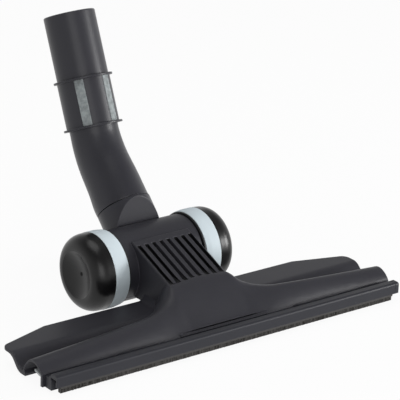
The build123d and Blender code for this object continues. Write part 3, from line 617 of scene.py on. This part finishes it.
class BRUSHHEAD_OT_bristles(bpy.types.Operator):
    """Plant the row of bristles in the channel"""

    bl_idname = "brushhead.bristles"
    bl_label = "Bristles"

    def execute(self, context):
        sizes = context.scene.brush_head_sizes
        low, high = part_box("brush_bristles")
        chance = random.Random(HAIR_SEED)
        bm = bmesh.new()
        row_length = high.x - low.x - 2 * sizes.hair_radius
        columns = int(row_length / sizes.hair_pitch)
        inset = sizes.hair_radius * HAIR_INSET_SHARE
        row_step = (high.y - low.y - 2 * inset) / (sizes.hair_rows - 1)
        for row in range(sizes.hair_rows):
            for column in range(columns + 1):
                x = low.x + sizes.hair_radius + row_length * column / columns
                wander = chance.uniform(-HAIR_WANDER, HAIR_WANDER) * MM
                y = low.y + inset + row * row_step + wander
                tip = low.z + chance.uniform(0.0, HAIR_UNEVEN) * MM
                lean = Matrix.Rotation(chance.uniform(-HAIR_LEAN, HAIR_LEAN), 4, "X")
                turn = Matrix.Rotation(chance.uniform(0, math.tau), 4, "Z")
                place = Matrix.Translation((x, y, (tip + high.z) / 2)) @ lean @ turn
                bmesh.ops.create_cone(
                    bm, cap_ends=True, segments=HAIR_SIDES, radius1=sizes.hair_radius * HAIR_TIP_SHARE,
                    radius2=sizes.hair_radius, depth=high.z - tip, matrix=place,
                )
        # A solid heart, so that no light shows between the rows
        inset_each_way = Vector((HEART_INSET, HEART_INSET, HEART_INSET))
        heart_low, heart_high = low + inset_each_way, high - inset_each_way
        heart_size = Matrix.Diagonal(heart_high - heart_low).to_4x4()
        heart = Matrix.Translation((heart_low + heart_high) / 2) @ heart_size
        bmesh.ops.create_cube(bm, size=1.0, matrix=heart)
        place_piece("bristle_row", mesh_from(bm, "bristle_row"), "brush_bristles")
        return {"FINISHED"}


class BRUSHHEAD_OT_screws(bpy.types.Operator):
    """Make the screws of the cover and the rail"""

    bl_idname = "brushhead.screws"
    bl_label = "Screws"

    def execute(self, context):
        sizes = context.scene.brush_head_sizes
        low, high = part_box("drum_cover_screws")
        upwards = Matrix.Rotation(math.pi, 4, "X")
        cover_places = [
            Matrix.Translation((x, (low.y + high.y) / 2, low.z)) @ upwards
            for x in (low.x + sizes.screw_head, high.x - sizes.screw_head)
        ]
        screw_set("drum_cover_screws", screw_mesh(sizes, high.z - low.z), cover_places)
        low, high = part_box("rail_screws")
        forwards = Matrix.Rotation(-math.pi / 2, 4, "X")
        first = low.x + sizes.screw_head
        pitch = (high.x - low.x - 2 * sizes.screw_head) / (RAIL_SCREW_COUNT - 1)
        rail_places = [
            Matrix.Translation((first + pitch * step, high.y, (low.z + high.z) / 2)) @ forwards
            for step in range(RAIL_SCREW_COUNT)
        ]
        screw_set("rail_screws", screw_mesh(sizes, high.y - low.y), rail_places)
        return {"FINISHED"}


class BRUSHHEAD_OT_stage(bpy.types.Operator):
    """Set the pale floor, the soft studio light and the camera"""

    bl_idname = "brushhead.stage"
    bl_label = "Stage"

    def execute(self, context):
        make_floor()
        make_world(context.scene)
        make_lamps()
        make_camera(context.scene)
        context.scene.view_settings.view_transform = "Standard"
        return {"FINISHED"}


# ---------------------------------------------------------------- stage


def seen_rays(tree):
    """Value that is 1 for camera, glossy and transmission rays and 0 for the rest."""
    rays = add_node(tree, "ShaderNodeLightPath")
    first = add_node(tree, "ShaderNodeMath", operation="MAXIMUM")
    second = add_node(tree, "ShaderNodeMath", operation="MAXIMUM")
    tree.links.new(rays.outputs["Is Camera Ray"], first.inputs[0])
    tree.links.new(rays.outputs["Is Glossy Ray"], first.inputs[1])
    tree.links.new(first.outputs[0], second.inputs[0])
    tree.links.new(rays.outputs["Is Transmission Ray"], second.inputs[1])
    return second.outputs[0]


def make_floor():
    """Wide white floor that glows softly to the camera and keeps a faint shadow."""
    bm = bmesh.new()
    below = Matrix.Translation((0, 0, -FLOOR_DROP))
    bmesh.ops.create_grid(bm, x_segments=1, y_segments=1, size=FLOOR_SIZE, matrix=below)
    floor = bpy.data.objects.new("floor", mesh_from(bm, "floor"))
    bpy.context.scene.collection.objects.link(floor)
    tree, shader = principled("floor")
    shader.inputs["Base Color"].default_value = FLOOR_COLOUR
    shader.inputs["Roughness"].default_value = 0.9
    shader.inputs["Specular IOR Level"].default_value = 0.0
    glow = add_node(tree, "ShaderNodeEmission", Strength=1.0)
    share = add_node(tree, "ShaderNodeMath", operation="MULTIPLY")
    share.inputs[1].default_value = FLOOR_GLOW
    blend = add_node(tree, "ShaderNodeMixShader")
    tree.links.new(seen_rays(tree), share.inputs[0])
    tree.links.new(share.outputs[0], blend.inputs[0])
    tree.links.new(shader.outputs[0], blend.inputs[1])
    tree.links.new(glow.outputs[0], blend.inputs[2])
    tree.links.new(blend.outputs[0], tree.nodes["Material Output"].inputs["Surface"])
    dress(floor, "floor")


def make_world(scene):
    """Surroundings that the camera sees white, reflections see dim overhead, and a soft fill."""
    world = bpy.data.worlds.new("studio")
    scene.world = world
    world.use_nodes = True
    tree = world.node_tree
    tree.nodes.clear()
    place = add_node(tree, "ShaderNodeTexCoord")
    height = add_node(tree, "ShaderNodeSeparateXYZ")
    ceiling = add_node(
        tree, "ShaderNodeMapRange", From_Min=0.12, From_Max=0.75, To_Min=1.0, To_Max=0.28
    )
    rays = add_node(tree, "ShaderNodeLightPath")
    level = add_node(tree, "ShaderNodeMix", data_type="FLOAT")
    level.inputs[3].default_value = 1.0
    shown = add_node(tree, "ShaderNodeBackground")
    fill = add_node(tree, "ShaderNodeBackground", Strength=FILL_LEVEL)
    for node in (shown, fill):
        node.inputs["Color"].default_value = WHITE
    blend = add_node(tree, "ShaderNodeMixShader")
    output = add_node(tree, "ShaderNodeOutputWorld")
    tree.links.new(place.outputs["Generated"], height.inputs[0])
    tree.links.new(height.outputs["Z"], ceiling.inputs["Value"])
    tree.links.new(rays.outputs["Is Camera Ray"], level.inputs[0])
    tree.links.new(ceiling.outputs["Result"], level.inputs[2])
    tree.links.new(level.outputs[0], shown.inputs["Strength"])
    tree.links.new(seen_rays(tree), blend.inputs[0])
    tree.links.new(fill.outputs[0], blend.inputs[1])
    tree.links.new(shown.outputs[0], blend.inputs[2])
    tree.links.new(blend.outputs[0], output.inputs["Surface"])


def add_lamp(name, place, size, power):
    """Square soft lamp aimed at the brush head."""
    light = bpy.data.lights.new(name, "AREA")
    light.size = size
    light.energy = power
    lamp = bpy.data.objects.new(name, light)
    bpy.context.scene.collection.objects.link(lamp)
    lamp.location = place
    lamp.rotation_euler = (Vector(LAMP_TARGET) - Vector(place)).to_track_quat("-Z", "Y").to_euler()


def make_lamps():
    """Soft key lamp low at the front right, a broad weak lamp above and a weak fill at the left."""
    add_lamp("key_lamp", (1.18, -0.92, 0.30), size=0.5, power=17.0)
    add_lamp("top_lamp", (-0.1, 0.2, 1.5), size=1.0, power=7.0)
    add_lamp("fill_lamp", (-0.75, -1.3, 0.55), size=0.9, power=6.0)


def make_camera(scene):
    """Camera at the photograph's viewing angle."""
    data = bpy.data.cameras.new("photo_camera")
    data.lens = CAMERA_LENS
    data.sensor_width = CAMERA_SENSOR
    camera = bpy.data.objects.new("photo_camera", data)
    scene.collection.objects.link(camera)
    axes = (CAMERA_RIGHT, CAMERA_UP, CAMERA_BACK)
    turn = Matrix(axes).transposed().to_4x4()
    place = AXLE.copy()
    for axis, distance in zip(axes, CAMERA_PLACE):
        place += axis * distance
    camera.matrix_world = Matrix.Translation(place) @ turn
    scene.camera = camera


# ---------------------------------------------------------------- add-on


class BRUSHHEAD_PT_panel(bpy.types.Panel):
    """Sizes, colours and steps of the brush head"""

    bl_label = "Brush head"
    bl_space_type = "VIEW_3D"
    bl_region_type = "UI"
    bl_category = "Brush head"

    def draw(self, context):
        layout = self.layout
        for group in (context.scene.brush_head_sizes, context.scene.brush_head_colours):
            for name in group.bl_rna.properties.keys():
                if name not in ("rna_type", "name"):
                    layout.prop(group, name)
        for operator in OPERATORS:
            layout.operator(operator.bl_idname)


OPERATORS = (
    BRUSHHEAD_OT_finishes,
    BRUSHHEAD_OT_shell,
    BRUSHHEAD_OT_tube,
    BRUSHHEAD_OT_wheels,
    BRUSHHEAD_OT_rail,
    BRUSHHEAD_OT_bristles,
    BRUSHHEAD_OT_screws,
    BRUSHHEAD_OT_stage,
)
CLASSES = (BrushHeadSizes, BrushHeadColours) + OPERATORS + (BRUSHHEAD_PT_panel,)


def register():
    for cls in CLASSES:
        bpy.utils.register_class(cls)
    bpy.types.Scene.brush_head_sizes = PointerProperty(type=BrushHeadSizes)
    bpy.types.Scene.brush_head_colours = PointerProperty(type=BrushHeadColours)


def unregister():
    del bpy.types.Scene.brush_head_colours
    del bpy.types.Scene.brush_head_sizes
    for cls in reversed(CLASSES):
        bpy.utils.unregister_class(cls)


def main():
    register()
    bpy.ops.brushhead.finishes()
    bpy.ops.brushhead.shell()
    bpy.ops.brushhead.tube()
    bpy.ops.brushhead.wheels()
    bpy.ops.brushhead.rail()
    bpy.ops.brushhead.bristles()
    bpy.ops.brushhead.screws()
    bpy.ops.brushhead.stage()


if __name__ == "__main__":
    main()
